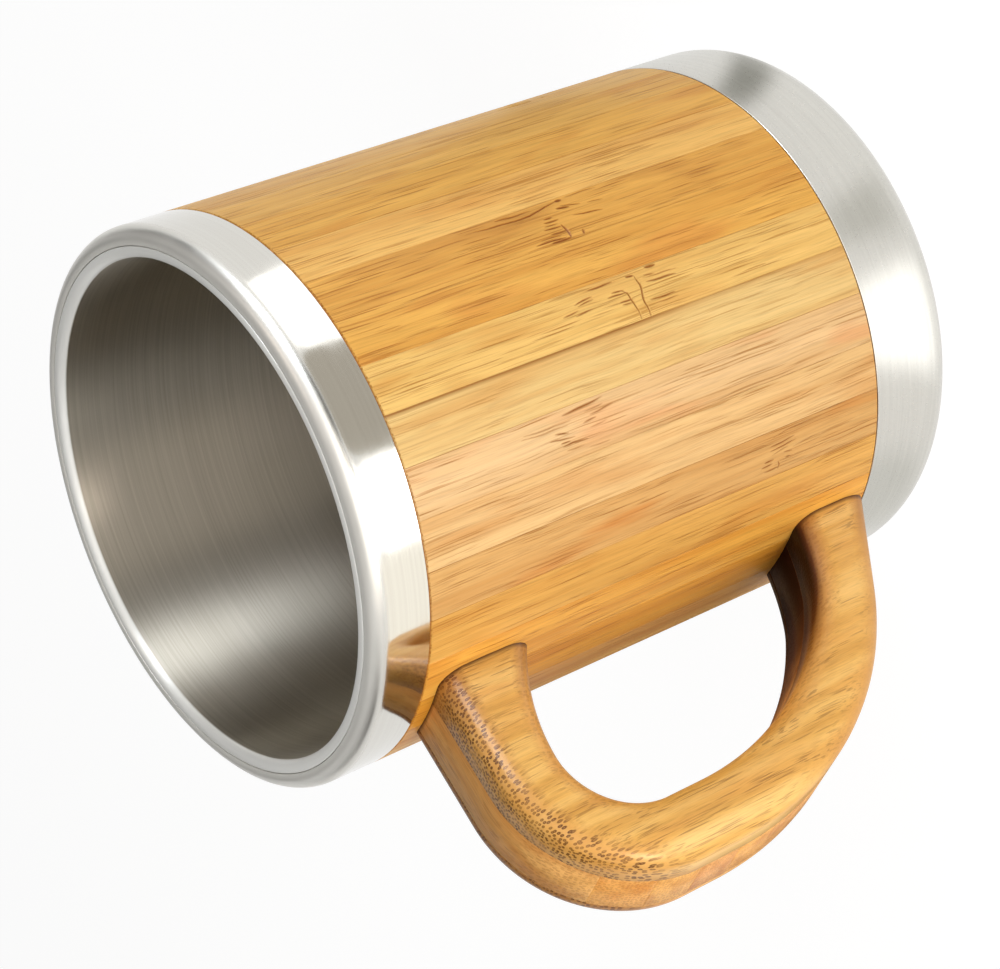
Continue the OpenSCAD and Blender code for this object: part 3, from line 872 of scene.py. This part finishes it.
# the middle ply: crosswise strips cut from one swept bar, a fine groove left at each glue line
def makeStrips():
    vertices, faces = sweptPly(handle["farGlue"], handle["nearGlue"])
    mesh = bpy.data.meshes.new("coreBar")
    mesh.from_pydata(vertices, [], faces)
    bar = bmesh.new()
    bar.from_mesh(mesh)
    bmesh.ops.recalc_face_normals(bar, faces=bar.faces)
    glue = [handle["firstGlue"] - handle["stripHeight"] * k for k in range(handle["strips"] - 1)]
    ease = handle["seamEase"]
    for height in glue:
        for step in (-ease, ease, 0):
            cutLevel(bar, height + step, handle["cutMerge"])
    bar.normal_update()
    for vertex in bar.verts:
        if min(abs(vertex.co.z / mm - height) for height in glue) < 1e-4 and vertex.co.x > handle["eased"] * mm:
            vertex.co.x -= vertex.normal.x * ease * mm
    edges = [cupSize["height"]] + glue + [0]
    for i in range(handle["strips"]):
        strip = bar.copy()
        for height, side in ((edges[i], "clear_outer"), (edges[i + 1], "clear_inner")):
            cutLevel(strip, height, handle["stripMerge"], **{side: True})
            rim = [e for e in strip.edges if e.is_boundary]
            if rim:
                bmesh.ops.triangle_fill(strip, use_beauty=True, use_dissolve=False, edges=rim)
        bmesh.ops.recalc_face_normals(strip, faces=strip.faces)
        part = bpy.data.meshes.new("handleStrip.%02d" % (i + 1))
        strip.to_mesh(part)
        look = {**shades(stripTones[i], stripShades), "strandShare": 0.4, "endStrand": 0.35, "endShare": 0}
        title = "steamedBambooStrip.%02d" % (i + 1)
        bamboo = steamedBamboo(title, look, bambooGrain["strip"], "x", seeds["strip"] + i, joint=handle["jointShade"],
            coat=0.15)
        place(showMesh(part, bamboo, handle["sharp"]), "handle_core_bamboo", "handle_core_%02d" % (i + 1))
        strip.free()
    bar.free()


makeStrips()
print("handle:", round(handleRun, 2), "mm run")


screwLook = {"tones": ("#a9adb1", "#c6c9cb"), "mottle": 1800, "roughness": (0.28, 0.42)}   # mottle is per metre


# wood screws: zinc plated steel, bright with a faint blue cast, seen only when the cup is apart
def platedScrew(look):
    material, add = startMaterial("zincPlatedScrew")
    coords = add("TexCoord").outputs["Object"]
    mottle = add("TexNoise", {"Scale": look["mottle"], "Detail": 3}, {"Vector": coords})
    tone = add("ValToRGB", twoTones(look["tones"], 0.35, 0.65), {"Fac": mottle})
    gloss = add("MapRange", span(0.3, 0.7, *look["roughness"]), {0: mottle})
    shader = add("BsdfPrincipled", {"Metallic": 1}, {"Base Color": tone, "Roughness": gloss})
    add("OutputMaterial", links={"Surface": shader})
    return material


zinc = platedScrew(screwLook)
for name in ("upper_screw", "lower_screw"):
    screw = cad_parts[name]
    screw.data.materials.clear()
    screw.data.materials.append(zinc)

# the studio: a pale floor, lamps for what is matt and cards for what shines
studio = {
    "worldLight": 0.16,
    "floorTint": "#f4f3f1",
    "floorHalf": 3000,       # mm
    "floorDrop": 0.05,       # mm, so that the cup's underside isn't in the floor
    "floorGlow": 0.8,        # share of the floor that shows as plain white to the eye
    "floorWhite": 1.12,
    "lampAim": (0, 0, 50),   # mm
    "lamps": [
        # name, place in mm, width and height in mm, watts; only matt surfaces show them
        ("leftBox", (-320, 520, 260), 420, 300, 2.1),
        ("rightBox", (560, 300, 110), 420, 200, 2.3),
        ("frontBox", (250, 560, 420), 300, 300, 0.9),
        ("handleBox", (480, -10, 330), 260, 260, 1.15),
    ],
    # cards that only gloss shows: name, middle in mm, what it faces, width and height in mm, tint, glow and the
    # soft share of its edge; one that faces nothing lies on the floor, its height pointing at the cup
    "cards": [
        ("backCard", (250, -357, 345), (0, 0, 60), 560, 420, "#1c1814", 1, 0),
        ("sideCard", (-430, -10, 345), (0, 0, 60), 520, 420, "#241f1a", 1, 0),
        ("cornerCard", (-285, -440, 390), (0, 0, 60), 480, 440, "#1c1814", 1, 0),
        ("roofCard", (-30, -60, 520), (0, 0, 60), 460, 460, "#7d776c", 1, 0),
        ("lowBackCard", (-25, -72, 40), (60, 0, 40), 90, 78, "#2e2019", 1, 0.1),
        ("lipCard", (-225, -390, 345), (0, 0, 104), 230, 190, "#f6f6f2", 1, 0.2),
        ("bandCard", (-290, 590, 330), (0, 0, 90), 300, 330, "#eef6ff", 14, 0.1),
        ("frontCard", (330, 330, 400), (0, 0, 90), 560, 260, "#f2ece4", 3.3, 0),
        ("glossCard", (-135, 92, 485), (60, 8, 88), 95, 150, "#ffeee2", 5, 0.4),
        ("handleGlossCard", (285, 215, 95), (75, 5, 75), 120, 110, "#fff4ea", 22, 0.4),
        ("crestShadeCard", (40, 238, 96), (9, 38, 96), 200, 200, "#4a4843", 1, 0.75),
        ("darkFloorCard", (-95, 55, 1), None, 80, 100, "#8a7a66", 1, 0.2),
        ("whiteCardRight", (152, 134, 3), None, 104, 130, "#ffffff", 5, 0),
        ("greyCardFront", (33, 192, 2), None, 151, 130, "#c4beb3", 1, 0),
        ("whiteCardLeft", (-93, 172, 3), None, 122, 130, "#ffffff", 2, 0),
        ("creamCard", (172, -11, 2), None, 212, 130, "#fffbf2", 1.33, 0),
        ("footGlowCard", (38, 37, 1), None, 29, 30, "#ffffff", 2.1, 0.6),
        ("footShadeNear", (16, 49, 1.2), None, 18, 26, "#dddcd7", 1, 0.8),
        ("footShadeFar", (-25, 42, 1.2), None, 17, 26, "#a2a29c", 1, 0.8),
        ("footShadeRight", (49, -6, 1.2), None, 34, 22, "#ededea", 1, 0.6),
        ("shadeFloorCard", (40, -88, 1.4), None, 130, 96, "#5e4a38", 1, 0.4),
    ],
}


# 1 for a ray from the camera, from gloss or through glass, for which the ground behind is white
def seenWhite(add):
    path = add("LightPath")
    seen = add("Math", {"operation": "ADD"}, {0: path.outputs["Is Camera Ray"], 1: path.outputs["Is Glossy Ray"]})
    return add("Math", {"operation": "ADD", "use_clamp": True}, {0: seen, 1: path.outputs["Is Transmission Ray"]})


def flatSheet(name, halfX, halfY, z, material):
    corners = [(-halfX, -halfY, z), (halfX, -halfY, z), (halfX, halfY, z), (-halfX, halfY, z)]
    return makeObject(name, corners, [(0, 1, 2, 3)], material)


def makeStudio(look):
    world = bpy.data.worlds.new("studioWorld")
    world.use_nodes = True
    world.node_tree.nodes.clear()
    add = partial(addNode, world.node_tree)
    strength = add("MapRange", span(0, 1, look["worldLight"]), {0: seenWhite(add)})
    sky = add("Background", {"Color": grey(1)}, {"Strength": strength})
    add("OutputWorld", links={"Surface": sky})
    scene.world = world

    material, add = startMaterial("paperSweepFloor")
    coords = add("TexCoord").outputs["Object"]
    tooth = add("TexNoise", {"Scale": 900, "Detail": 3}, {"Vector": coords})
    bump = add("Bump", {"Strength": 0.05, "Distance": 0.1 * mm}, {"Height": tooth})
    paper = add("BsdfDiffuse", {"Color": look["floorTint"]}, {"Normal": bump})
    glow = add("Emission", {"Color": grey(1), "Strength": look["floorWhite"]})
    share = add("Math", {**times, 1: look["floorGlow"]}, {0: seenWhite(add)})
    both = add("MixShader", links={0: share, 1: paper, 2: glow})
    add("OutputMaterial", links={"Surface": both})
    half = look["floorHalf"] * mm
    floor = flatSheet("paperFloor", half, half, -look["floorDrop"] * mm, material)

    for name, spot, target, width, height, tint, glow, soft in look["cards"]:
        material, add = startMaterial(name + "Board")
        board = add("Emission", {"Color": tint, "Strength": glow})
        w, h = width / 2 * mm, height / 2 * mm
        coords = add("TexCoord").outputs["Object"]
        inCard = add("VectorMath", {**times, 1: (1 / w, 1 / h, 0)}, {0: coords})
        out = add("VectorMath", {"operation": "ABSOLUTE"}, {0: inCard})
        sides = add("SeparateXYZ", links={0: out})
        fades = [add("MapRange", {**smooth, **span(1 - soft, 1.0001, 1, 0)}, {0: sides.outputs[k]}) for k in (0, 1)]
        fade = add("Math", times, {0: fades[0], 1: fades[1]})
        clear = add("BsdfTransparent")
        edged = add("MixShader", links={0: fade, 1: clear, 2: board})
        add("OutputMaterial", links={"Surface": edged})
        card = flatSheet(name, w, h, 0, material)
        card.location = Vector(spot) * mm
        if target:
            card.rotation_euler = (Vector(target) - Vector(spot)).to_track_quat("Z", "Y").to_euler()
        else:
            card.rotation_euler = (0, 0, math.atan2(spot[1], spot[0]) - math.pi / 2)
        card.visible_camera = card.visible_diffuse = card.visible_shadow = False

    for name, spot, width, height, watts in look["lamps"]:
        data = bpy.data.lights.new(name, "AREA")
        data.shape = "RECTANGLE"
        data.size = width * mm
        data.size_y = height * mm
        data.energy = watts
        lamp = bpy.data.objects.new(name, data)
        lamp.location = Vector(spot) * mm
        lamp.rotation_euler = (Vector(look["lampAim"]) * mm - lamp.location).to_track_quat("-Z", "Y").to_euler()
        lamp.visible_glossy = False
        scene.collection.objects.link(lamp)


makeStudio(studio)
scene.view_settings.view_transform = "Standard"
print("studio lit")
